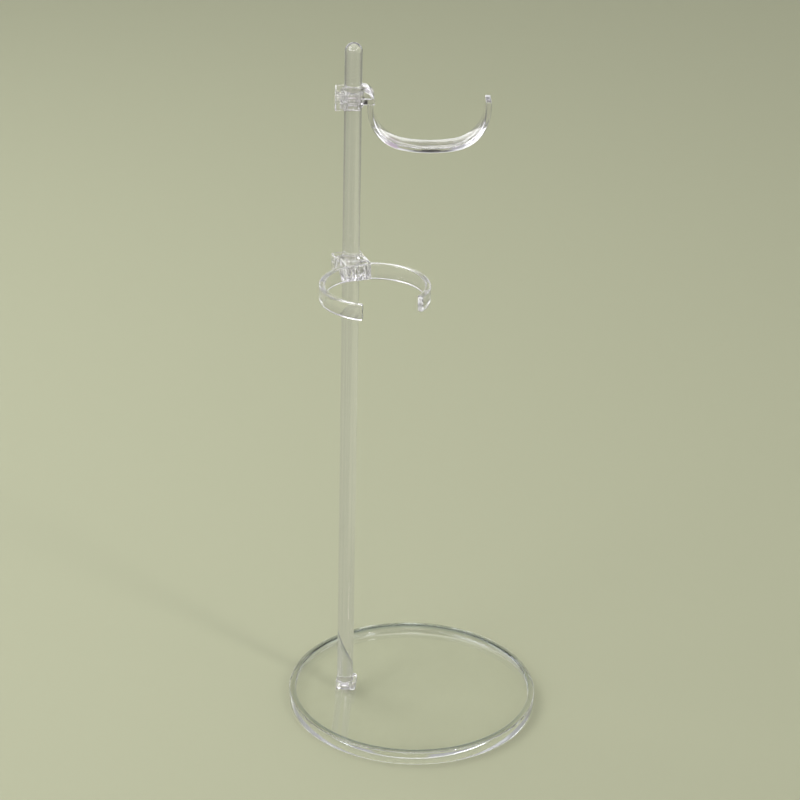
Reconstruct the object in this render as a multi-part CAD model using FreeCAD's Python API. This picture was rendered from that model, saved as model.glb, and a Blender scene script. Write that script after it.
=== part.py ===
import FreeCAD, Part
import math
import os

# Clear display stand: a round tray base, an off-centre pole, a saddle hook and a C-shaped
# band, each on a clip that slides along the pole and swivels about it. Millimetres.
# Origin: centre of the base's underside. +Z up. The pole stands on the -X side.

# Base tray
BASE_R = 76.0
PLATE_T = 5.2
RIM_TOP = 8.2
RIM_W = 3.9
RIM_FILLET = 1.0
FOOT_CHAMFER = 0.6

# Pole and the square socket at its foot
POLE_R = 5.0
POLE_X = -41.8
POLE_TOP = 422.0
SPIGOT_R = 3.0
SPIGOT_L = 3.6
GLUE_GAP = 0.02
SOCKET_SIDE = 12.4
SOCKET_H = 5.2
SOCKET_CORNER_R = 2.2
SOCKET_SHIFT = 0.8

# Clips. Along a clip's arm is u, across it is v, and the pole's axis is at u = v = 0.
FIT = 0.05
COLLAR_R = 5.85
COLLAR_BEAD_R = 6.4
COLLAR_BEAD_H = 2.0
COLLAR_SLIT = 1.6
BLOCK_BACK = 10.2
BLOCK_FRONT = 4.2
BLOCK_HALF = 8.7
BLOCK_H = 9.4
BLOCK_EDGE = 0.5
POCKET_BACK = 9.2
POCKET_FRONT = 4.8
POCKET_HALF = 7.7
POCKET_WALL_R = 7.3
POCKET_DEPTH = 3.8
ARM_RISE = 1.8
STRAP_T = 3.3
TONGUE_W = 2.2
TONGUE_T = 1.0
TONGUE_V = 7.6
TONGUE_RISE = 3.2

# Saddle hook
HOOK_BLOCK_Z = 385.0
HOOK_ANGLE = 6.0
HOOK_W = 14.0
HOOK_ROOT_HALF = 7.8
HOOK_ROOT_PROUD = 0.8
HOOK_NEAR_U = 9.75
HOOK_FAR_U = 75.7
HOOK_CORNER_R = 22.5
HOOK_CORNER_Z = 385.0
HOOK_FLAT_HALF_ANGLE = 10.0
HOOK_TIP_Z = 390.5
BEND_R = 7.8

# C-shaped band
RING_BLOCK_Z = 283.6
RING_ANGLE = -66.0
RING_R = 31.5
RING_BAND_H = 9.6
RING_CENTRE_U = 44.0
RING_GAP_HALF_ANGLE = 34.7
RING_GAP_TURN = 3.3
RING_ROOT_HALF = 7.8
RING_ROOT_U = 14.5
RING_PAD_HALF = 6.6
RING_PAD_U = 16.9

Z_AXIS = FreeCAD.Vector(0, 0, 1)
ORIGIN = FreeCAD.Vector(0, 0, 0)


def vec(x, y, z):
    return FreeCAD.Vector(x, y, z)


def lathe(points, x=0.0, y=0.0):
    """Turn a closed (radius, z) outline about the vertical line through x, y."""
    wire = Part.makePolygon([vec(r, 0, z) for r, z in points + points[:1]])
    solid = Part.Face(wire).revolve(ORIGIN, Z_AXIS, 360)
    solid.translate(vec(x, y, 0))
    return solid


def rounded_prism(u0, u1, v0, v1, z0, height, edge):
    """A box with its four upright edges rounded."""
    box = Part.makeBox(u1 - u0, v1 - v0, height, vec(u0, v0, z0))
    upright = [e for e in box.Edges if abs(e.tangentAt(e.FirstParameter).z) > 0.9]
    return box.makeFillet(edge, upright)


def to_pole(shape, angle):
    """Move a clip part from its own u, v frame to the pole, turned by angle."""
    placed = shape.copy()
    placed.rotate(ORIGIN, Z_AXIS, angle)
    placed.translate(vec(POLE_X, 0, 0))
    return placed


def save(shape, node):
    shape.exportStep("parts/" + node + ".step")
    print(node, "valid", shape.isValid(), "solids", len(shape.Solids), "mm3", round(shape.Volume, 1))


def base_tray():
    """Round plate with an upstanding rim and a blind hole for the pole's spigot."""
    inner = BASE_R - RIM_W
    outline = [(0, 0), (BASE_R - FOOT_CHAMFER, 0), (BASE_R, FOOT_CHAMFER), (BASE_R, RIM_TOP),
               (inner, RIM_TOP), (inner, PLATE_T), (0, PLATE_T)]
    tray = lathe(outline)
    rim_edges = [e for e in tray.Edges if abs(e.CenterOfMass.z - RIM_TOP) < 0.01]
    tray = tray.makeFillet(RIM_FILLET, rim_edges)
    hole = Part.makeCylinder(SPIGOT_R + GLUE_GAP, SPIGOT_L + 1, vec(POLE_X, 0, PLATE_T - SPIGOT_L))
    return tray.cut(hole)


def foot_socket():
    """Square collar glued round the pole's foot, standing on the plate."""
    half = SOCKET_SIDE / 2
    block = rounded_prism(SOCKET_SHIFT - half, SOCKET_SHIFT + half, -half, half,
                          PLATE_T, SOCKET_H, SOCKET_CORNER_R)
    bore = Part.makeCylinder(POLE_R + GLUE_GAP, SOCKET_H + 2, vec(0, 0, PLATE_T - 1))
    return to_pole(block.cut(bore), 0)


def pole():
    """Solid round rod with a half-round top and a spigot that enters the plate."""
    rod = Part.makeCylinder(POLE_R, POLE_TOP - POLE_R - PLATE_T, vec(0, 0, PLATE_T))
    dome = Part.makeSphere(POLE_R, vec(0, 0, POLE_TOP - POLE_R), Z_AXIS, 0, 90, 360)
    spigot = Part.makeCylinder(SPIGOT_R, SPIGOT_L, vec(0, 0, PLATE_T - SPIGOT_L))
    return to_pole(rod.fuse([dome, spigot]).removeSplitter(), 0)


def grip_collar(z0, angle):
    """Split sleeve that grips the pole; its bead runs in the clip block's groove."""
    inner = POLE_R + FIT
    top = z0 + BLOCK_H
    bead_low = z0 + (BLOCK_H - COLLAR_BEAD_H) / 2
    bead_high = bead_low + COLLAR_BEAD_H
    sleeve = lathe([(inner, z0), (COLLAR_R, z0), (COLLAR_R, bead_low), (COLLAR_BEAD_R, bead_low),
                    (COLLAR_BEAD_R, bead_high), (COLLAR_R, bead_high), (COLLAR_R, top), (inner, top)])
    slit = Part.makeBox(BLOCK_BACK, COLLAR_SLIT, BLOCK_H + 2, vec(-BLOCK_BACK, -COLLAR_SLIT / 2, z0 - 1))
    return to_pole(sleeve.cut(slit), angle)


def collar_space(z0, reach_up):
    """The bore that the collar turns in, with its bead's groove, at one block height."""
    low = z0 - 1
    high = z0 + BLOCK_H + reach_up
    bore_r = COLLAR_R + FIT
    groove_r = COLLAR_BEAD_R + FIT
    groove_low = z0 + (BLOCK_H - COLLAR_BEAD_H) / 2 - FIT
    groove_high = groove_low + COLLAR_BEAD_H + 2 * FIT
    return lathe([(0, low), (bore_r, low), (bore_r, groove_low), (groove_r, groove_low),
                  (groove_r, groove_high), (bore_r, groove_high), (bore_r, high), (0, high)])


def tongues(z0, z1, grow):
    """The two upright keys that join an arm's root to its clip block."""
    keys = []
    for side in (-1, 1):
        centre = side * (TONGUE_V - TONGUE_T / 2)
        keys.append(Part.makeBox(TONGUE_W + grow, TONGUE_T + 2 * grow, z1 - z0 + 2 * grow,
                                 vec(BLOCK_FRONT - TONGUE_W - grow, centre - TONGUE_T / 2 - grow,
                                     z0 - grow)))
    return keys


def corner_pockets(z0):
    """Coring in a block's two back corners, from above and from below."""
    pockets = []
    for low in (z0 - 1, z0 + BLOCK_H - POCKET_DEPTH):
        floor_to_mouth = POCKET_DEPTH + 1
        slot = Part.makeBox(POCKET_BACK - POCKET_FRONT, 2 * POCKET_HALF, floor_to_mouth,
                            vec(-POCKET_BACK, -POCKET_HALF, low))
        wall = Part.makeCylinder(POCKET_WALL_R, floor_to_mouth, vec(0, 0, low))
        pockets += slot.cut(wall).Solids
    return pockets


def clip_block(z0, angle):
    """Block behind the arm's root; together they close round the collar."""
    block = rounded_prism(-BLOCK_BACK, BLOCK_FRONT, -BLOCK_HALF, BLOCK_HALF, z0, BLOCK_H, BLOCK_EDGE)
    block = block.cut([collar_space(z0, 1)] + corner_pockets(z0))
    block = block.cut(tongues(z0 + TONGUE_RISE, z0 + BLOCK_H + 1, GLUE_GAP))
    return to_pole(block, angle)


def hook_centre_line():
    """Points and arcs of the saddle's centre line in the u, z plane, near limb to tip."""
    flat = math.radians(HOOK_FLAT_HALF_ANGLE)
    mid_u = (HOOK_NEAR_U + HOOK_FAR_U) / 2
    corner_u = HOOK_NEAR_U + HOOK_CORNER_R
    flat_r = HOOK_CORNER_R + (mid_u - corner_u) / math.sin(flat)
    flat_z = HOOK_CORNER_Z + (flat_r - HOOK_CORNER_R) * math.cos(flat)
    return mid_u, corner_u, flat_r, flat_z, flat


def hook_outline(offset):
    """One side of the saddle strap, at offset outwards from its centre line."""
    mid_u, corner_u, flat_r, flat_z, flat = hook_centre_line()
    far_corner_u = 2 * mid_u - corner_u
    corner_r = HOOK_CORNER_R + offset
    bottom_r = flat_r + offset

    def on_arc(u, z, radius, turn):
        return vec(u + radius * math.cos(turn), 0, z + radius * math.sin(turn))

    down = 1.5 * math.pi
    near_end = down - flat
    far_start = down + flat
    start = vec(HOOK_NEAR_U - offset, 0, HOOK_BLOCK_Z + TONGUE_RISE)
    near_top = on_arc(corner_u, HOOK_CORNER_Z, corner_r, math.pi)
    near_mid = on_arc(corner_u, HOOK_CORNER_Z, corner_r, (math.pi + near_end) / 2)
    near_low = on_arc(corner_u, HOOK_CORNER_Z, corner_r, near_end)
    bottom = on_arc(mid_u, flat_z, bottom_r, down)
    far_low = on_arc(far_corner_u, HOOK_CORNER_Z, corner_r, far_start)
    far_mid = on_arc(far_corner_u, HOOK_CORNER_Z, corner_r, (far_start + 2 * math.pi) / 2)
    far_top = on_arc(far_corner_u, HOOK_CORNER_Z, corner_r, 2 * math.pi)
    tip = vec(HOOK_FAR_U + offset, 0, HOOK_TIP_Z)
    return [Part.LineSegment(start, near_top).toShape(),
            Part.Arc(near_top, near_mid, near_low).toShape(),
            Part.Arc(near_low, bottom, far_low).toShape(),
            Part.Arc(far_low, far_mid, far_top).toShape(),
            Part.LineSegment(far_top, tip).toShape()]


def hook_saddle():
    """U-shaped strap; its near limb hangs from a root with a quarter-round shoulder."""
    outer = hook_outline(STRAP_T / 2)
    inner = hook_outline(-STRAP_T / 2)
    tip = Part.LineSegment(outer[-1].Vertexes[-1].Point, inner[-1].Vertexes[-1].Point).toShape()
    top = Part.LineSegment(outer[0].Vertexes[0].Point, inner[0].Vertexes[0].Point).toShape()
    wire = Part.Wire(Part.__sortEdges__(outer + inner + [tip, top]))
    strap = Part.Face(wire).extrude(vec(0, HOOK_W, 0))
    strap.translate(vec(0, -HOOK_W / 2, 0))

    root_low = HOOK_BLOCK_Z + TONGUE_RISE
    block_top = HOOK_BLOCK_Z + BLOCK_H
    root_top = block_top + ARM_RISE
    root_front = HOOK_NEAR_U + STRAP_T / 2 + HOOK_ROOT_PROUD
    bend_u = root_front - BEND_R
    bend_z = root_top - BEND_R
    slant = BEND_R * math.sin(math.radians(45))
    bend = Part.Arc(vec(bend_u, 0, root_top), vec(bend_u + slant, 0, bend_z + slant),
                    vec(root_front, 0, bend_z)).toShape()
    sides = Part.makePolygon([vec(root_front, 0, bend_z), vec(root_front, 0, root_low),
                              vec(BLOCK_FRONT, 0, root_low), vec(BLOCK_FRONT, 0, block_top),
                              vec(bend_u, 0, block_top), vec(bend_u, 0, root_top)])
    root = Part.Face(Part.Wire([bend] + sides.Edges)).extrude(vec(0, 2 * HOOK_ROOT_HALF, 0))
    root.translate(vec(0, -HOOK_ROOT_HALF, 0))
    keys = tongues(root_low, block_top, 0)
    arm = root.fuse([strap] + keys).cut(collar_space(HOOK_BLOCK_Z, ARM_RISE + 1))
    return to_pole(arm.removeSplitter(), HOOK_ANGLE)


def ring_band():
    """C-shaped band with a straight root that meets the clip block and a flat pad inside."""
    z0 = RING_BLOCK_Z + ARM_RISE
    centre = vec(RING_CENTRE_U, 0, z0)
    hoop = Part.makeCylinder(RING_R, RING_BAND_H, centre)
    hole = Part.makeCylinder(RING_R - STRAP_T, RING_BAND_H + 2, centre - vec(0, 0, 1))
    reach = 2 * RING_R
    spread = reach * math.tan(math.radians(RING_GAP_HALF_ANGLE))
    wedge = Part.Face(Part.makePolygon([centre, centre + vec(reach, -spread, 0),
                                        centre + vec(reach, spread, 0), centre]))
    gap = wedge.extrude(vec(0, 0, RING_BAND_H + 2))
    gap.translate(vec(0, 0, -1))
    gap.rotate(centre, Z_AXIS, RING_GAP_TURN)
    root = Part.makeBox(RING_ROOT_U - BLOCK_FRONT, 2 * RING_ROOT_HALF, RING_BAND_H,
                        vec(BLOCK_FRONT, -RING_ROOT_HALF, z0))
    pad = Part.makeBox(RING_PAD_U - RING_ROOT_U, 2 * RING_PAD_HALF, RING_BAND_H,
                       vec(RING_ROOT_U, -RING_PAD_HALF, z0))
    keys = tongues(RING_BLOCK_Z + TONGUE_RISE, RING_BLOCK_Z + BLOCK_H, 0)
    band = hoop.cut([hole, gap])
    arm = band.fuse([root, pad] + keys).cut(collar_space(RING_BLOCK_Z, ARM_RISE + 3))
    return to_pole(arm.removeSplitter(), RING_ANGLE)


os.makedirs("parts", exist_ok=True)
save(base_tray(), "base_tray")
save(foot_socket(), "foot_socket")
save(pole(), "pole")
save(grip_collar(HOOK_BLOCK_Z, HOOK_ANGLE), "hook_collar")
save(clip_block(HOOK_BLOCK_Z, HOOK_ANGLE), "hook_block")
save(hook_saddle(), "hook_saddle")
save(grip_collar(RING_BLOCK_Z, RING_ANGLE), "ring_collar")
save(clip_block(RING_BLOCK_Z, RING_ANGLE), "ring_block")
save(ring_band(), "ring_band")
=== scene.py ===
import math
import bmesh
import bpy
from mathutils import Matrix, Vector

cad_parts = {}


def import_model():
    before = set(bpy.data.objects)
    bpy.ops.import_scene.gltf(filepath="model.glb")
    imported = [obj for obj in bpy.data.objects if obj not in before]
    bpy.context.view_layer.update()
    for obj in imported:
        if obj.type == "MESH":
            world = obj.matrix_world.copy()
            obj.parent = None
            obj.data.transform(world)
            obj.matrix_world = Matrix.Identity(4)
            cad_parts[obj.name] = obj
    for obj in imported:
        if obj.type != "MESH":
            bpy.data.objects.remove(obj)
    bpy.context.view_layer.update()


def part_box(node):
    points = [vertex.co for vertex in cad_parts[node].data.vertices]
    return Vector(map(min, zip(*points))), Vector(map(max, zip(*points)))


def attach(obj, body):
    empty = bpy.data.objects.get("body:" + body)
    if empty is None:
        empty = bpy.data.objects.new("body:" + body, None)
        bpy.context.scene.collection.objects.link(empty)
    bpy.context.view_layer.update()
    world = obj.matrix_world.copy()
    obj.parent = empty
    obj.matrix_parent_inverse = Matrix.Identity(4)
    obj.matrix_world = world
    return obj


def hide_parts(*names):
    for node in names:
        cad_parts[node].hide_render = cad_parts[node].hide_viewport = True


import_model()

# ---------------------------------------------------------------- dimensions, in metres
MM = 0.001

# The shared frame: the pole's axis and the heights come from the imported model.
POLE_LOW, POLE_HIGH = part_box("pole")
POLE_X = (POLE_LOW[0] + POLE_HIGH[0]) / 2
POLE_R = (POLE_HIGH[0] - POLE_LOW[0]) / 2
TRAY_LOW, TRAY_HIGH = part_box("base_tray")
TRAY_R = (TRAY_HIGH[0] - TRAY_LOW[0]) / 2
RIM_TOP = TRAY_HIGH[2]
SOCKET_LOW, SOCKET_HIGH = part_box("foot_socket")
PLATE_TOP = SOCKET_LOW[2]
RIM_W = 3.9 * MM

HOOK_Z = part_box("hook_block")[0][2]
RING_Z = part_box("ring_block")[0][2]
BLOCK_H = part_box("hook_block")[1][2] - HOOK_Z
ROOT_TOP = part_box("hook_saddle")[1][2]
ARM_RISE = ROOT_TOP - HOOK_Z - BLOCK_H
BAND_LOW, BAND_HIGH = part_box("ring_band")[0][2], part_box("ring_band")[1][2]

BLOCK_BACK, BLOCK_FRONT, BLOCK_HALF = 10.2 * MM, 4.2 * MM, 8.7 * MM
COLLAR_IN, COLLAR_R, COLLAR_BEAD_R = 5.05 * MM, 5.85 * MM, 6.4 * MM
COLLAR_BEAD_H = 2.0 * MM
COLLAR_SLIT = 1.6 * MM
COLLAR_FLUTES, FLUTE_DEPTH = 24, 0.3 * MM
POCKET_BACK, POCKET_FRONT, POCKET_HALF = 9.2 * MM, 4.8 * MM, 7.7 * MM
POCKET_WALL_R, POCKET_DEPTH = 7.3 * MM, 3.8 * MM
FIT = 0.05 * MM
SEAM = 0.03 * MM
GLUE_GAP = 0.02 * MM
SOCKET_CORNER_R = 2.2 * MM
STRAP_T = 3.3 * MM
TONGUE_W, TONGUE_T, TONGUE_V, TONGUE_RISE = 2.2 * MM, 1.0 * MM, 7.6 * MM, 3.2 * MM
TONGUE_SINK = 0.5 * MM

HOOK_ANGLE = math.radians(6.0)
HOOK_W = 14.0 * MM
HOOK_ROOT_HALF = 7.8 * MM
HOOK_ROOT_PROUD = 0.8 * MM
HOOK_NEAR_U, HOOK_FAR_U = 9.75 * MM, 75.7 * MM
HOOK_CORNER_R = 22.5 * MM
HOOK_FLAT_HALF = math.radians(10.0)
HOOK_TIP_Z = HOOK_Z + 5.5 * MM
BEND_R = 7.8 * MM

RING_ANGLE = math.radians(-66.0)
RING_R = 31.5 * MM
RING_CENTRE_U = 44.0 * MM
RING_GAP_HALF = math.radians(34.7)
RING_GAP_TURN = math.radians(3.3)
RING_ROOT_HALF = 7.8 * MM
RING_PAD_HALF, RING_PAD_U = 6.6 * MM, 16.9 * MM
PAD_RIBS, PAD_RIB_DEPTH = 6, 0.5 * MM

# How finely curved pieces are divided, and small edges shared by several pieces
TRAY_SEGMENTS, ROD_SEGMENTS, BORE_SEGMENTS = 256, 96, 72
BAND_STEPS, SADDLE_STEPS, BEND_STEPS, CORNER_STEPS = 60, 18, 20, 12
SHARP_ANGLE = math.radians(32)
WELD = 1e-7
TINY = 1e-9
# Keeps an inset outline's points close to its sharp corners
SHARP_CORNER = 0.35
BLOCK_EDGE, BLOCK_CORNER = 0.35 * MM, 0.9 * MM
ROOT_EDGE, SADDLE_EDGE, BAND_EDGE = 0.5 * MM, 0.9 * MM, 0.8 * MM
SADDLE_TIP, BAND_TIP = 0.7 * MM, 0.8 * MM


# ---------------------------------------------------------------- mesh helpers
def arc(cx, cy, r, a0, a1, n):
    """n + 1 points on a circle about cx, cy from angle a0 to a1."""
    return [(cx + r * math.cos(a0 + (a1 - a0) * i / n), cy + r * math.sin(a0 + (a1 - a0) * i / n))
            for i in range(n + 1)]


def new_piece(name, bm, body, slot, material, *nodes):
    """Finish a bmesh as an object that rides on body and stands for the CAD nodes."""
    bmesh.ops.remove_doubles(bm, verts=bm.verts, dist=WELD)
    bmesh.ops.recalc_face_normals(bm, faces=bm.faces)
    mesh = bpy.data.meshes.new(name)
    bm.to_mesh(mesh)
    bm.free()
    obj = bpy.data.objects.new(name, mesh)
    bpy.context.scene.collection.objects.link(obj)
    mesh.materials.append(material)
    mesh.shade_smooth()
    mesh.set_sharp_from_angle(angle=SHARP_ANGLE)
    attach(obj, body)
    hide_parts(*nodes)
    return obj


def lathe(profile, segments, x=0.0):
    """Turn (radius, z) points about the vertical line through x."""
    bm = bmesh.new()
    rings = []
    for r, z in profile:
        if r < WELD:
            rings.append([bm.verts.new((x, 0, z))])
            continue
        rings.append([bm.verts.new((x + r * math.cos(2 * math.pi * k / segments),
                                    r * math.sin(2 * math.pi * k / segments), z))
                      for k in range(segments)])
    for low, high in zip(rings, rings[1:]):
        for k in range(segments):
            k1 = (k + 1) % segments
            if len(low) == 1:
                bm.faces.new((low[0], high[k1], high[k]))
            elif len(high) == 1:
                bm.faces.new((low[k], low[k1], high[0]))
            else:
                bm.faces.new((low[k], low[k1], high[k1], high[k]))
    return bm


def inset(points, d):
    """The closed outline moved d inwards (points run anticlockwise)."""
    out = []
    n = len(points)
    for i in range(n):
        p0, p1, p2 = Vector(points[i - 1]), Vector(points[i]), Vector(points[(i + 1) % n])
        a, b = (p1 - p0).normalized(), (p2 - p1).normalized()
        na, nb = Vector((-a.y, a.x)), Vector((-b.y, b.x))
        m = na + nb
        k = d / max(SHARP_CORNER, 1 + na.dot(nb)) if m.length > TINY else d
        out.append(p1 + m * k)
    return out


def slab(outline, z0, z1, edge, steps=3):
    """A plate with this outline whose long edges are rounded with radius edge."""
    bm = bmesh.new()
    layers = []
    for i in range(steps + 1):
        a = math.pi / 2 * i / steps
        layers.append((edge * (1 - math.sin(a)), z0 + edge * (1 - math.cos(a))))
    layers += [(d, z0 + z1 - z) for d, z in reversed(layers)]
    rings = [[bm.verts.new((p.x, p.y, z)) for p in inset(outline, d)] for d, z in layers]
    n = len(outline)
    for low, high in zip(rings, rings[1:]):
        for k in range(n):
            bm.faces.new((low[k], low[(k + 1) % n], high[(k + 1) % n], high[k]))
    bm.faces.new(reversed(rings[0]))
    bm.faces.new(rings[-1])
    return bm


def rounded(points, r, n=4):
    """Round every corner of a closed anticlockwise polygon of (x, y) or (x, y, radius)."""
    out = []
    m = len(points)
    for i in range(m):
        p0, p1, p2 = (Vector(points[(i + k) % m][:2]) for k in (-1, 0, 1))
        radius = points[i][2] if len(points[i]) > 2 else r
        if radius <= 0:
            out.append((p1.x, p1.y))
            continue
        a, b = (p0 - p1).normalized(), (p2 - p1).normalized()
        half = a.angle(b) / 2
        reach = radius / math.tan(half)
        centre = p1 + (a + b).normalized() * radius / math.sin(half)
        s, e = p1 + a * reach - centre, p1 + b * reach - centre
        a0 = math.atan2(s.y, s.x)
        turn = math.atan2(s.x * e.y - s.y * e.x, s.dot(e))
        out += arc(centre.x, centre.y, radius, a0, a0 + turn, n)
    return out


def box(u0, u1, v0, v1, z0, z1):
    """Square block between two corners."""
    bm = bmesh.new()
    bmesh.ops.create_cube(bm, size=1)
    bmesh.ops.scale(bm, vec=(u1 - u0, v1 - v0, z1 - z0), verts=bm.verts)
    bmesh.ops.translate(bm, vec=((u0 + u1) / 2, (v0 + v1) / 2, (z0 + z1) / 2), verts=bm.verts)
    return bm


def combine(bm, other, operation):
    """The boolean of two closed meshes, both of which are used up."""
    objs = []
    for part in (bm, other):
        bmesh.ops.remove_doubles(part, verts=part.verts, dist=WELD)
        bmesh.ops.recalc_face_normals(part, faces=part.faces)
        mesh = bpy.data.meshes.new("work")
        part.to_mesh(mesh)
        part.free()
        objs.append(bpy.data.objects.new("work", mesh))
        bpy.context.scene.collection.objects.link(objs[-1])
    modifier = objs[0].modifiers.new("boolean", "BOOLEAN")
    modifier.operation = operation
    modifier.solver = "EXACT"
    modifier.object = objs[1]
    result = bmesh.new()
    result.from_object(objs[0], bpy.context.evaluated_depsgraph_get())
    for obj in objs:
        bpy.data.meshes.remove(obj.data)
    return result


def to_pole(bm, angle):
    """Place a clip part: from its own u, v, z to the shared frame."""
    place = Matrix.Translation((POLE_X, 0, 0)) @ Matrix.Rotation(angle, 4, "Z")
    bmesh.ops.transform(bm, matrix=place, verts=bm.verts)
    return bm


# ---------------------------------------------------------------- materials
PLASTIC_IOR = 1.49
# Fine surface marks, and the mark levels between which a streak deepens
MARK_DETAIL = 3
MARK_HEIGHT = 0.5 * MM
STREAK_FROM, STREAK_TO = 0.4, 0.6
# The share of light that gets through a level face to what lies behind it
VEIL_LEVEL = 0.99

# The tray's teal edge tint with painted shade from under the rim: its colour, its width from the
# rim's inner wall, and its rise up the wall
RIM_TINT_SHADE_COLOUR = (0.32, 0.39, 0.44)
RIM_TINT_SHADE_W, RIM_TINT_SHADE_FULL, RIM_TINT_SHADE_RISE = 3.6 * MM, 1.8 * MM, 2.6 * MM
# Distances from the tray's left-right line over which the edge tint and painted shade grow from
# none to full; a start below zero leaves part of it at the sides
RIM_TINT_SHADE_Y = (-20 * MM, 50 * MM)


def rim_tint_and_shade(nodes, links, coords, tint, socket):
    """Deepen the rim's inner wall and edge at front and back with painted shade in the plastic's
    edge tint, where the plastic is seen deep.
    """
    place = nodes.new("ShaderNodeSeparateXYZ")
    links.new(coords.outputs["Object"], place.inputs["Vector"])
    flat = nodes.new("ShaderNodeVectorMath")
    flat.operation = "MULTIPLY"
    flat.inputs[1].default_value = (1, 1, 0)
    links.new(coords.outputs["Object"], flat.inputs[0])
    radius = nodes.new("ShaderNodeVectorMath")
    radius.operation = "LENGTH"
    links.new(flat.outputs["Vector"], radius.inputs[0])
    inner = TRAY_R - RIM_W
    across = nodes.new("ShaderNodeMath")
    across.operation = "ABSOLUTE"
    links.new(place.outputs["Y"], across.inputs[0])
    reach = (inner + RIM_TINT_SHADE_W, inner + RIM_TINT_SHADE_FULL)
    rise = (PLATE_TOP, PLATE_TOP + RIM_TINT_SHADE_RISE)
    amount = None
    for value, (low, high) in ((radius.outputs["Value"], reach), (place.outputs["Z"], rise),
                               (across.outputs[0], RIM_TINT_SHADE_Y)):
        part = nodes.new("ShaderNodeMapRange")
        part.inputs["From Min"].default_value = low
        part.inputs["From Max"].default_value = high
        links.new(value, part.inputs["Value"])
        if amount is None:
            amount = part.outputs["Result"]
            continue
        both = nodes.new("ShaderNodeMath")
        both.operation = "MULTIPLY"
        links.new(amount, both.inputs[0])
        links.new(part.outputs["Result"], both.inputs[1])
        amount = both.outputs[0]
    tinted_and_shaded = nodes.new("ShaderNodeMix")
    tinted_and_shaded.data_type = "RGBA"
    tinted_and_shaded.inputs["A"].default_value = (*tint, 1)
    tinted_and_shaded.inputs["B"].default_value = (*RIM_TINT_SHADE_COLOUR, 1)
    links.new(amount, tinted_and_shaded.inputs["Factor"])
    links.new(tinted_and_shaded.outputs["Result"], socket)


def clear_plastic(name, tint, clarity, veil, mark_scale, mark_strength, rough, streak=1.0,
                  rim=False):
    """Clear plastic: refraction with fine surface marks, and a soft see-through shadow.

    streak is the tone of the darker streaks against the tint, and veil the share of light that
    gets through an upright face.
    """
    material = bpy.data.materials.new(name)
    material.use_nodes = True
    nodes, links = material.node_tree.nodes, material.node_tree.links
    nodes.clear()
    out = nodes.new("ShaderNodeOutputMaterial")
    shader = nodes.new("ShaderNodeBsdfPrincipled")
    shader.inputs["Transmission Weight"].default_value = clarity
    shader.inputs["IOR"].default_value = PLASTIC_IOR

    coords = nodes.new("ShaderNodeTexCoord")
    stretch = nodes.new("ShaderNodeMapping")
    stretch.inputs["Scale"].default_value = mark_scale
    links.new(coords.outputs["Object"], stretch.inputs["Vector"])
    marks = nodes.new("ShaderNodeTexNoise")
    marks.inputs["Scale"].default_value = 1.0
    marks.inputs["Detail"].default_value = MARK_DETAIL
    links.new(stretch.outputs["Vector"], marks.inputs["Vector"])
    # On the tray, the rim gets painted shade mixed with the plastic's edge tint.
    if rim:
        rim_tint_and_shade(nodes, links, coords, tint, shader.inputs["Base Color"])
    elif streak < 1:
        bands = nodes.new("ShaderNodeMapRange")
        bands.inputs["From Min"].default_value = STREAK_FROM
        bands.inputs["From Max"].default_value = STREAK_TO
        links.new(marks.outputs["Fac"], bands.inputs["Value"])
        body = nodes.new("ShaderNodeMix")
        body.data_type = "RGBA"
        body.inputs["A"].default_value = (*tint, 1)
        body.inputs["B"].default_value = (*(c * streak for c in tint), 1)
        links.new(bands.outputs["Result"], body.inputs["Factor"])
        links.new(body.outputs["Result"], shader.inputs["Base Color"])
    else:
        shader.inputs["Base Color"].default_value = (*tint, 1)
    bump = nodes.new("ShaderNodeBump")
    bump.inputs["Strength"].default_value = mark_strength
    bump.inputs["Distance"].default_value = MARK_HEIGHT
    links.new(marks.outputs["Fac"], bump.inputs["Height"])
    links.new(bump.outputs["Normal"], shader.inputs["Normal"])
    wear = nodes.new("ShaderNodeMapRange")
    wear.inputs["To Min"].default_value = rough[0]
    wear.inputs["To Max"].default_value = rough[1]
    links.new(marks.outputs["Fac"], wear.inputs["Value"])
    links.new(wear.outputs["Result"], shader.inputs["Roughness"])

    # Light passes level faces almost whole and loses some in upright ones, which pipe it away.
    path = nodes.new("ShaderNodeLightPath")
    face = nodes.new("ShaderNodeNewGeometry")
    split = nodes.new("ShaderNodeSeparateXYZ")
    links.new(face.outputs["True Normal"], split.inputs["Vector"])
    level = nodes.new("ShaderNodeMath")
    level.operation = "ABSOLUTE"
    links.new(split.outputs["Z"], level.inputs[0])
    shade = nodes.new("ShaderNodeMix")
    shade.data_type = "RGBA"
    shade.inputs["A"].default_value = (veil, veil, veil, 1)
    shade.inputs["B"].default_value = (VEIL_LEVEL, VEIL_LEVEL, VEIL_LEVEL, 1)
    links.new(level.outputs[0], shade.inputs["Factor"])
    see_through = nodes.new("ShaderNodeBsdfTransparent")
    links.new(shade.outputs["Result"], see_through.inputs["Color"])
    surface = shader.outputs["BSDF"]
    for ray in ("Is Shadow Ray", "Is Diffuse Ray"):
        mix = nodes.new("ShaderNodeMixShader")
        links.new(path.outputs[ray], mix.inputs["Fac"])
        links.new(surface, mix.inputs[1])
        links.new(see_through.outputs["BSDF"], mix.inputs[2])
        surface = mix.outputs["Shader"]
    links.new(surface, out.inputs["Surface"])
    return material


# The tray's material paints shade on its rim, mixed with the plastic's edge tint.
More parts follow.
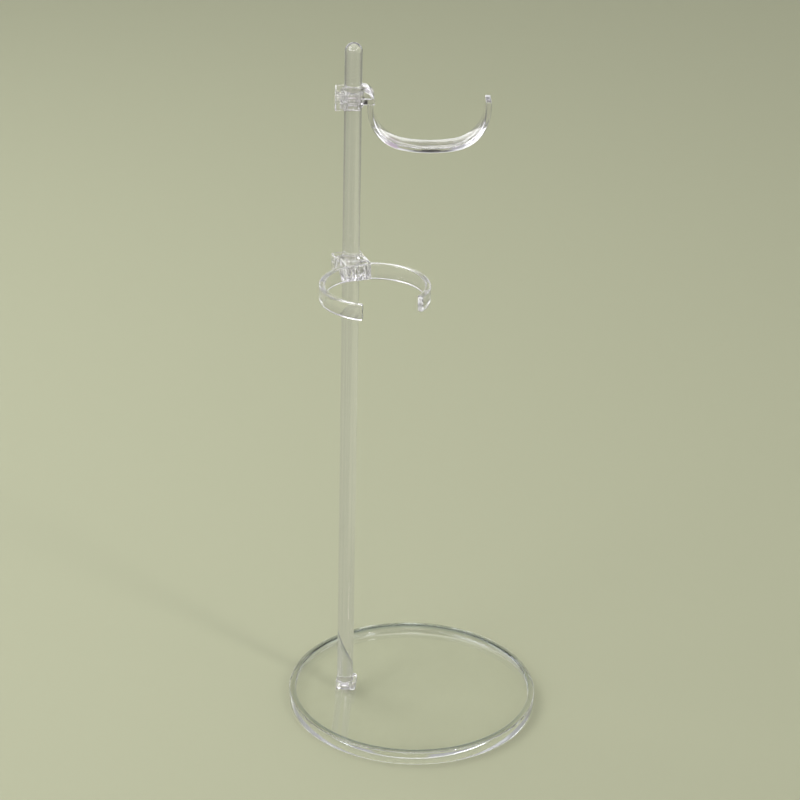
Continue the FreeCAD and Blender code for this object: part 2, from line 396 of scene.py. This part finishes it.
CLEAR_BASE = clear_plastic("clear_base", tint=(0.985, 0.992, 0.982), clarity=1.0, veil=0.6,
                           mark_scale=(300, 300, 300), mark_strength=0.002, rough=(0.0, 0.02),
                           rim=True)
CLEAR_ROD = clear_plastic("clear_rod", tint=(0.99, 0.985, 1.0), streak=0.84, clarity=0.94,
                          veil=0.4, mark_scale=(900, 900, 4), mark_strength=0.08,
                          rough=(0.02, 0.08))
CLEAR_MOULDING = clear_plastic("clear_moulding", tint=(1.0, 0.99, 1.0), clarity=0.94, veil=0.7,
                               mark_scale=(450, 450, 450), mark_strength=0.08,
                               rough=(0.0, 0.01))
CLEAR_STRAP = clear_plastic("clear_strap", tint=(0.985, 0.98, 0.998), streak=0.95,
                            clarity=0.985, veil=0.8, mark_scale=(40, 40, 350),
                            mark_strength=0.22, rough=(0.0, 0.02))
CLEAR_SADDLE = clear_plastic("clear_saddle", tint=(0.96, 0.945, 0.975), streak=0.9,
                             clarity=0.985, veil=0.8, mark_scale=(60, 700, 60),
                             mark_strength=0.08, rough=(0.0, 0.02))


# ---------------------------------------------------------------- pieces
def base_tray():
    """Round plate with an upstanding rim; every edge is rounded as moulded."""
    r, inner = TRAY_R, TRAY_R - RIM_W
    foot, lip, fillet = 0.5 * MM, 0.45 * MM, 0.35 * MM
    profile = [(0, 0)]
    profile += arc(r - foot, foot, foot, -math.pi / 2, 0, 5)
    profile += arc(r - lip, RIM_TOP - lip, lip, 0, math.pi / 2, 6)
    profile += arc(inner + lip, RIM_TOP - lip, lip, math.pi / 2, math.pi, 6)
    profile += arc(inner - fillet, PLATE_TOP + fillet, fillet, 0, -math.pi / 2, 5)
    profile += [(0, PLATE_TOP)]
    return new_piece("tray", lathe(profile, TRAY_SEGMENTS), "stand", "clear_base", CLEAR_BASE,
                     "base_tray")


def pole():
    """Solid rod with a half-round top, standing on the plate."""
    foot = 0.3 * MM
    low, top = PLATE_TOP + GLUE_GAP, POLE_HIGH[2] - POLE_R
    profile = [(0, low)]
    profile += arc(POLE_R - foot, low + foot, foot, -math.pi / 2, 0, 3)
    profile += arc(0, top, POLE_R, 0, math.pi / 2, BEND_STEPS)[:-1]
    profile += [(0, top + POLE_R)]
    return new_piece("rod", lathe(profile, ROD_SEGMENTS, POLE_X), "stand", "clear_rod",
                     CLEAR_ROD, "pole")


def foot_socket():
    """Square collar with rounded corners round the pole's foot."""
    x0, x1 = SOCKET_LOW[0] - POLE_X, SOCKET_HIGH[0] - POLE_X
    half = (x1 - x0) / 2
    cx = (x0 + x1) / 2
    corners = [(cx - half, -half), (cx + half, -half), (cx + half, half), (cx - half, half)]
    square = rounded(corners, SOCKET_CORNER_R, CORNER_STEPS)
    segments = ROD_SEGMENTS
    # Starting part of a step round keeps the vertices clear of the outline's own points.
    angles = [2 * math.pi * (k + 0.37) / segments for k in range(segments)]
    edge = BLOCK_EDGE
    z0, z1 = PLATE_TOP + GLUE_GAP, SOCKET_HIGH[2]
    bore = POLE_R + SEAM
    bm = bmesh.new()

    def reach(angle, outline):
        """How far the outline is from the pole's axis in this direction."""
        best = 0.0
        d = Vector((math.cos(angle), math.sin(angle)))
        for i in range(len(outline)):
            a, b = Vector(outline[i - 1]), Vector(outline[i])
            e = b - a
            den = d.x * e.y - d.y * e.x
            if abs(den) < TINY:
                continue
            t = (a.x * e.y - a.y * e.x) / den
            s = (a.x * d.y - a.y * d.x) / den
            if t > 0 and -TINY <= s <= 1 + TINY:
                best = max(best, t)
        return best

    outer = [(edge, z0), (0.1 * edge, z0 + 0.5 * edge), (0, z0 + edge), (0, z1 - edge),
             (0.3 * edge, z1 - 0.3 * edge), (edge, z1)]
    loops = []
    for d, z in outer:
        outline = [tuple(p) for p in inset(square, d)]
        far = [reach(a, outline) for a in angles]
        loops.append([bm.verts.new((math.cos(a) * r, math.sin(a) * r, z))
                      for a, r in zip(angles, far)])
    for r, z in ((bore + 0.5 * edge, z1), (bore, z1 - 0.5 * edge), (bore, z0)):
        loops.append([bm.verts.new((r * math.cos(a), r * math.sin(a), z)) for a in angles])
    loops.append(loops[0])
    for low, high in zip(loops, loops[1:]):
        for k in range(segments):
            bm.faces.new((low[k], low[(k + 1) % segments], high[(k + 1) % segments], high[k]))
    to_pole(bm, 0)
    return new_piece("foot_block", bm, "stand", "clear_moulding", CLEAR_MOULDING, "foot_socket")


def collar_space(z0, margin=1 * MM):
    """Solid of the bore that the collar turns in, with the groove for its bead."""
    bore, groove = COLLAR_R + FIT, COLLAR_BEAD_R + FIT
    low = z0 + (BLOCK_H - COLLAR_BEAD_H) / 2 - FIT
    high = low + COLLAR_BEAD_H + 2 * FIT
    top = z0 + BLOCK_H + ARM_RISE + margin
    return lathe([(0, z0 - margin), (bore, z0 - margin), (bore, low), (groove, low),
                  (groove, high), (bore, high), (bore, top), (0, top)], BORE_SEGMENTS)


def collar(name, z0, angle, body, node):
    """Split, fluted sleeve round the pole, with a bead that runs in the clip's groove."""
    low = z0 + (BLOCK_H - COLLAR_BEAD_H) / 2
    high = low + COLLAR_BEAD_H
    top = z0 + BLOCK_H
    ease = 0.2 * MM
    steps = 3 * COLLAR_FLUTES
    profile = [(COLLAR_IN, z0), (COLLAR_R - ease, z0), (COLLAR_R, z0 + ease), (COLLAR_R, low),
               (COLLAR_BEAD_R - ease, low), (COLLAR_BEAD_R, low + ease),
               (COLLAR_BEAD_R, high - ease), (COLLAR_BEAD_R - ease, high), (COLLAR_R, high),
               (COLLAR_R, top - ease), (COLLAR_R - ease, top), (COLLAR_IN, top), (COLLAR_IN, z0)]
    bm = lathe(profile, steps)
    for vert in bm.verts:
        r = vert.co.xy.length
        step = round(math.atan2(vert.co.y, vert.co.x) * steps / (2 * math.pi))
        if step % 3 == 0 and r > COLLAR_R - ease - FIT:
            vert.co.xy *= (r - FLUTE_DEPTH) / r
    slit = box(-BLOCK_BACK, 0, -COLLAR_SLIT / 2, COLLAR_SLIT / 2, z0 - MM, top + MM)
    bm = combine(bm, slit, "DIFFERENCE")
    return new_piece(name, to_pole(bm, angle), body, "clear_sleeve", CLEAR_MOULDING, node)


def tongues(z0, grow):
    """The two upright keys that join an arm's root to its clip block."""
    keys = []
    for side in (-1, 1):
        v = side * (TONGUE_V - TONGUE_T / 2)
        half = TONGUE_T / 2 + grow
        keys.append(box(BLOCK_FRONT - TONGUE_W - grow, BLOCK_FRONT + TONGUE_SINK,
                        v - half, v + half,
                        z0 + TONGUE_RISE - grow, z0 + BLOCK_H + (MM if grow else 0)))
    return keys


def clip_block(name, z0, angle, body, node):
    """Block with a half-open bore; its corners and edges are rounded."""
    front = BLOCK_FRONT - SEAM
    outline = rounded([(front, BLOCK_HALF, 0), (-BLOCK_BACK, BLOCK_HALF),
                       (-BLOCK_BACK, -BLOCK_HALF), (front, -BLOCK_HALF, 0)], BLOCK_CORNER, 5)
    bm = slab(outline, z0, z0 + BLOCK_H, BLOCK_EDGE)
    bm = combine(bm, collar_space(z0), "DIFFERENCE")
    for key in tongues(z0, SEAM):
        bm = combine(bm, key, "DIFFERENCE")
    for low in (z0 - MM, z0 + BLOCK_H - POCKET_DEPTH):
        high = low + POCKET_DEPTH + MM
        slot = box(-POCKET_BACK, -POCKET_FRONT, -POCKET_HALF, POCKET_HALF, low, high)
        wall = lathe([(0, low - MM), (POCKET_WALL_R, low - MM), (POCKET_WALL_R, high + MM),
                      (0, high + MM)], BORE_SEGMENTS)
        bm = combine(bm, combine(slot, wall, "DIFFERENCE"), "DIFFERENCE")
    return new_piece(name, to_pole(bm, angle), body, "clear_moulding", CLEAR_MOULDING, node)


def saddle_side(offset):
    """One side of the saddle strap in u, z, from the near limb to the tip."""
    mid = (HOOK_NEAR_U + HOOK_FAR_U) / 2
    corner_u = HOOK_NEAR_U + HOOK_CORNER_R
    flat_r = HOOK_CORNER_R + (mid - corner_u) / math.sin(HOOK_FLAT_HALF)
    flat_z = HOOK_Z + (flat_r - HOOK_CORNER_R) * math.cos(HOOK_FLAT_HALF)
    down = 1.5 * math.pi
    near = arc(corner_u, HOOK_Z, HOOK_CORNER_R + offset, math.pi, down - HOOK_FLAT_HALF,
               SADDLE_STEPS)
    flat = arc(mid, flat_z, flat_r + offset, down - HOOK_FLAT_HALF, down + HOOK_FLAT_HALF,
               SADDLE_STEPS // 2)
    far = arc(2 * mid - corner_u, HOOK_Z, HOOK_CORNER_R + offset, down + HOOK_FLAT_HALF,
              2 * math.pi, SADDLE_STEPS)
    return near + flat[1:-1] + far


def saddle():
    """U-shaped strap that hangs from a wider root with a quarter-round shoulder."""
    half = STRAP_T / 2
    root_front = HOOK_NEAR_U + half + HOOK_ROOT_PROUD
    root_low = HOOK_Z + TONGUE_RISE
    block_top = HOOK_Z + BLOCK_H
    bend_u = root_front - BEND_R
    tip, edge = SADDLE_TIP, SADDLE_EDGE
    strap = [(HOOK_NEAR_U - half, root_low + edge)] + saddle_side(half)
    strap += arc(HOOK_FAR_U + half - tip, HOOK_TIP_Z - tip, tip, 0, math.pi / 2, 4)
    strap += arc(HOOK_FAR_U - half + tip, HOOK_TIP_Z - tip, tip, math.pi / 2, math.pi, 4)
    strap += list(reversed(saddle_side(-half))) + [(HOOK_NEAR_U + half, root_low + edge)]
    root = [(BLOCK_FRONT, block_top), (BLOCK_FRONT, root_low), (root_front, root_low)]
    root += arc(bend_u, ROOT_TOP - BEND_R, BEND_R, 0, math.pi / 2, BEND_STEPS)
    root += [(bend_u, block_top)]
    arm = slab(root, -HOOK_ROOT_HALF, HOOK_ROOT_HALF, ROOT_EDGE)
    arm = combine(arm, slab(strap, -HOOK_W / 2, HOOK_W / 2, edge), "UNION")
    bmesh.ops.transform(arm, matrix=Matrix.Rotation(math.pi / 2, 4, "X"), verts=arm.verts)
    for key in tongues(HOOK_Z, 0):
        arm = combine(arm, key, "UNION")
    arm = combine(arm, collar_space(HOOK_Z), "DIFFERENCE")
    return new_piece("saddle", to_pole(arm, HOOK_ANGLE), "hook_arm", "clear_strap", CLEAR_SADDLE,
                     "hook_saddle")


def band():
    """C-shaped band with its root and inner pad; its ends and long edges are rounded."""
    inner_r = RING_R - STRAP_T
    tip = BAND_TIP
    cut = 0.3 * tip
    a0, a1 = RING_GAP_TURN + RING_GAP_HALF, 2 * math.pi + RING_GAP_TURN - RING_GAP_HALF
    root_a = math.asin(RING_ROOT_HALF / RING_R)
    pad_a = math.asin(RING_PAD_HALF / inner_r)

    def at(r, a):
        return (RING_CENTRE_U + r * math.cos(a), r * math.sin(a))

    def sweep(r, start, stop):
        return arc(RING_CENTRE_U, 0, r, start, stop, BAND_STEPS)

    outline = sweep(RING_R, a0 + tip / RING_R, math.pi - root_a)
    outline += [(BLOCK_FRONT, RING_ROOT_HALF), (BLOCK_FRONT, -RING_ROOT_HALF)]
    outline += sweep(RING_R, math.pi + root_a, a1 - tip / RING_R)
    outline += [at(RING_R - cut, a1 - cut / RING_R), at(RING_R - tip, a1),
                at(inner_r + tip, a1), at(inner_r + cut, a1 - cut / inner_r)]
    outline += sweep(inner_r, a1 - tip / inner_r, math.pi + pad_a)
    rib = 2 * RING_PAD_HALF / PAD_RIBS
    for i in range(PAD_RIBS):
        v = -RING_PAD_HALF + i * rib
        outline += [(RING_PAD_U - PAD_RIB_DEPTH, v), (RING_PAD_U, v + 0.3 * rib),
                    (RING_PAD_U, v + 0.7 * rib)]
    outline += [(RING_PAD_U - PAD_RIB_DEPTH, RING_PAD_HALF)]
    outline += sweep(inner_r, math.pi - pad_a, a0 + tip / inner_r)
    outline += [at(inner_r + cut, a0 + cut / inner_r), at(inner_r + tip, a0),
                at(RING_R - tip, a0), at(RING_R - cut, a0 + cut / RING_R)]
    arm = slab(outline, BAND_LOW, BAND_HIGH, BAND_EDGE)
    for key in tongues(RING_Z, 0):
        arm = combine(arm, key, "UNION")
    arm = combine(arm, collar_space(RING_Z, 3 * MM), "DIFFERENCE")
    return new_piece("band", to_pole(arm, RING_ANGLE), "ring_arm", "clear_strap", CLEAR_STRAP,
                     "ring_band")


base_tray()
pole()
foot_socket()
collar("saddle_sleeve", HOOK_Z, HOOK_ANGLE, "hook_slider", "hook_collar")
collar("band_sleeve", RING_Z, RING_ANGLE, "ring_slider", "ring_collar")
clip_block("saddle_clip", HOOK_Z, HOOK_ANGLE, "hook_arm", "hook_block")
clip_block("band_clip", RING_Z, RING_ANGLE, "ring_arm", "ring_block")
saddle()
band()


# ---------------------------------------------------------------- floor, light, camera
AZIMUTH, ELEVATION = 4.5, 25.75
CAMERA_DISTANCE = 1.611
AIM_RIGHT, AIM_UP = -0.0115, 0.1796
ROLL = 1.34
LENS, SENSOR_W = 116.5, 36

FLOOR_R, FLOOR_DROP = 8.0, 0.0002
FLOOR_COLOUR = (0.252, 0.26, 0.177)
# Painted shade: the floor darkens to this tone towards its sides, from FLOOR_EVEN_X out over
# FLOOR_FADE
FLOOR_SIDE_SHADE_COLOUR = (0.13, 0.134, 0.1)
FLOOR_EVEN_X = 0.5
FLOOR_FADE = 0.42

# Surround brightness by the sine of the height above the horizon: in front of the object,
# behind it, and at its sides
SKY_FRONT = [(0.0, 0.4), (0.85, 0.35), (0.92, 0.8)]
SKY_BACK = [(0.0, 1.8), (0.2, 1.6), (0.3, 0.6), (0.5, 0.45), (0.68, 0.45), (0.75, 0.7),
            (0.92, 0.8)]
SKY_SIDE = [(0.0, 0.05), (0.2, 0.15), (0.35, 0.35), (0.8, 0.35), (0.92, 0.8)]
SKY_TINT = (0.98, 0.98, 1.0)
# Windows and screens round the object: azimuth and elevation in degrees, half width, colour
SKY_PATCHES = [(5, 27, 9, (5.0, 5.0, 5.0)), (48, 32, 8, (5.0, 5.0, 5.0)),
               (-42, 27, 9, (5.0, 5.0, 5.1)), (195, 54, 13, (2.2, 2.2, 2.2)),
               (-82, 37, 6, (2.6, 2.5, 2.7)), (98, 37, 6, (2.6, 2.6, 2.6)),
               (180, 32, 11, (0.44, 0.45, 0.31)), (140, 14, 6, (3.0, 3.0, 3.0)),
               (-150, 22, 4, (2.2, 2.2, 2.2)), (-150, 11, 4, (2.2, 2.2, 2.2)),
               (-124, 18, 8, (0.6, 0.6, 0.64)),
               (168, 15, 7, (0.50, 0.40, 0.49)), (185, 19, 6, (0.015, 0.01, 0.015))]
PATCH_EDGE = 1.5
# Half width of the change from front to back, and where the sides take over
FRONT_TO_BACK = 0.3
SIDES_FROM, SIDES_TO = 0.65, 0.9

LIGHT_AIM = (0, 0, 0.2)
LIGHT_BOUNCES, GLOSSY_BOUNCES = 32, 20


def floor():
    """Plain pale floor with painted shade that darkens it to a deeper tone at the sides."""
    bm = bmesh.new()
    bmesh.ops.create_circle(bm, cap_ends=True, segments=96, radius=FLOOR_R)
    mesh = bpy.data.meshes.new("floor")
    bm.to_mesh(mesh)
    bm.free()
    obj = bpy.data.objects.new("floor", mesh)
    obj.location.z = -FLOOR_DROP
    obj.rotation_euler.z = math.radians(AZIMUTH)
    bpy.context.scene.collection.objects.link(obj)
    material = bpy.data.materials.new("pale_floor")
    material.use_nodes = True
    nodes, links = material.node_tree.nodes, material.node_tree.links
    shader = nodes["Principled BSDF"]
    shader.inputs["Roughness"].default_value = 0.9
    shader.inputs["Specular IOR Level"].default_value = 0.1
    coords = nodes.new("ShaderNodeTexCoord")
    split = nodes.new("ShaderNodeSeparateXYZ")
    links.new(coords.outputs["Object"], split.inputs["Vector"])
    away = nodes.new("ShaderNodeMath")
    away.operation = "ABSOLUTE"
    links.new(split.outputs["X"], away.inputs[0])
    sides = nodes.new("ShaderNodeMapRange")
    sides.interpolation_type = "SMOOTHSTEP"
    sides.inputs["From Min"].default_value = FLOOR_EVEN_X
    sides.inputs["From Max"].default_value = FLOOR_EVEN_X + FLOOR_FADE
    links.new(away.outputs[0], sides.inputs["Value"])
    # Painted shade towards the floor's sides
    tone = nodes.new("ShaderNodeMix")
    tone.data_type = "RGBA"
    tone.inputs["A"].default_value = (*FLOOR_COLOUR, 1)
    tone.inputs["B"].default_value = (*FLOOR_SIDE_SHADE_COLOUR, 1)
    links.new(sides.outputs["Result"], tone.inputs["Factor"])
    links.new(tone.outputs["Result"], shader.inputs["Base Color"])
    mesh.materials.append(material)


def direction(azimuth, elevation):
    """Unit vector from the object; azimuth 0 is in front of it and 90 to its right."""
    a, e = math.radians(azimuth), math.radians(elevation)
    return Vector((math.sin(a) * math.cos(e), -math.cos(a) * math.cos(e), math.sin(e)))


def area_light(name, azimuth, elevation, distance, size, power, colour, shine=True):
    """A soft light that faces the object's middle; without shine it leaves no highlights."""
    data = bpy.data.lights.new(name, "AREA")
    data.shape = "RECTANGLE"
    data.size, data.size_y = size
    data.energy = power
    data.color = colour
    obj = bpy.data.objects.new(name, data)
    away = direction(azimuth, elevation)
    obj.location = Vector(LIGHT_AIM) + away * distance
    obj.rotation_euler = away.to_track_quat("Z", "Y").to_euler()
    obj.visible_glossy = shine
    obj.visible_transmission = shine
    bpy.context.scene.collection.objects.link(obj)


def camera():
    """Camera at the viewing angle, with a slight roll."""
    back = direction(AZIMUTH, ELEVATION)
    right = Vector((0, 0, 1)).cross(back).normalized()
    up = back.cross(right)
    aim = Vector((0, 0, PLATE_TOP)) + right * AIM_RIGHT + up * AIM_UP
    data = bpy.data.cameras.new("camera")
    data.lens = LENS
    data.sensor_width = SENSOR_W
    data.clip_end = 50
    obj = bpy.data.objects.new("camera", data)
    turn = Matrix((right, up, back)).transposed() @ Matrix.Rotation(math.radians(ROLL), 3, "Z")
    obj.matrix_world = Matrix.Translation(aim + back * CAMERA_DISTANCE) @ turn.to_4x4()
    bpy.context.scene.collection.objects.link(obj)
    bpy.context.scene.camera = obj


def world():
    """Studio surround: brightness ramps in front, behind and at the sides, with patches."""
    w = bpy.data.worlds.new("studio")
    bpy.context.scene.world = w
    w.use_nodes = True
    nodes, links = w.node_tree.nodes, w.node_tree.links
    coords = nodes.new("ShaderNodeTexCoord")
    split = nodes.new("ShaderNodeSeparateXYZ")
    links.new(coords.outputs["Generated"], split.inputs["Vector"])

    def ramp(stops):
        """Brightness by height from (sine of the height, level) stops."""
        node = nodes.new("ShaderNodeValToRGB")
        elements = node.color_ramp.elements
        for i, (height, level) in enumerate(stops):
            stop = elements[i] if i < 2 else elements.new(height)
            stop.position = height
            stop.color = (*(level * c for c in SKY_TINT), 1)
        links.new(split.outputs["Z"], node.inputs["Fac"])
        return node.outputs["Color"]

    def blend(value, low, high, under, over):
        """Go from one colour to another as value goes from low to high."""
        weight = nodes.new("ShaderNodeMapRange")
        weight.interpolation_type = "SMOOTHSTEP"
        weight.inputs["From Min"].default_value = low
        weight.inputs["From Max"].default_value = high
        links.new(value, weight.inputs["Value"])
        join = nodes.new("ShaderNodeMix")
        join.data_type = "RGBA"
        links.new(weight.outputs["Result"], join.inputs["Factor"])
        links.new(under, join.inputs["A"])
        if isinstance(over, tuple):
            join.inputs["B"].default_value = (*over, 1)
        else:
            links.new(over, join.inputs["B"])
        return join.outputs["Result"]

    sideways = nodes.new("ShaderNodeMath")
    sideways.operation = "ABSOLUTE"
    links.new(split.outputs["X"], sideways.inputs[0])
    colour = blend(split.outputs["Y"], -FRONT_TO_BACK, FRONT_TO_BACK, ramp(SKY_FRONT),
                   ramp(SKY_BACK))
    colour = blend(sideways.outputs[0], SIDES_FROM, SIDES_TO, colour, ramp(SKY_SIDE))
    for azimuth, elevation, half, patch in SKY_PATCHES:
        facing = nodes.new("ShaderNodeVectorMath")
        facing.operation = "DOT_PRODUCT"
        links.new(coords.outputs["Generated"], facing.inputs[0])
        facing.inputs[1].default_value = direction(azimuth, elevation)
        rim, core = (math.cos(math.radians(half + k * PATCH_EDGE)) for k in (1, -1))
        colour = blend(facing.outputs["Value"], rim, core, colour, patch)
    links.new(colour, nodes["Background"].inputs["Color"])


floor()
# Azimuth and elevation in degrees, distance, size, power and colour
area_light("key", 52, 46, 4.0, (0.4, 0.4), 44, (1.0, 0.98, 0.95))
area_light("side", 75, 43, 3.0, (0.6, 0.9), 5, (1.0, 1.0, 1.0))
area_light("fill", -62, 45, 1.4, (0.9, 0.9), 13, (0.97, 0.96, 1.0))
area_light("left", -122, 45, 1.7, (0.9, 0.9), 21, (0.98, 0.98, 1.0), shine=False)
area_light("top", 190, 78, 5.0, (4.0, 4.0), 35, (1.0, 1.0, 1.0))
world()
camera()

scene = bpy.context.scene
scene.view_settings.view_transform = "Standard"
scene.cycles.max_bounces = LIGHT_BOUNCES
scene.cycles.transmission_bounces = LIGHT_BOUNCES
scene.cycles.glossy_bounces = GLOSSY_BOUNCES
scene.cycles.transparent_max_bounces = LIGHT_BOUNCES
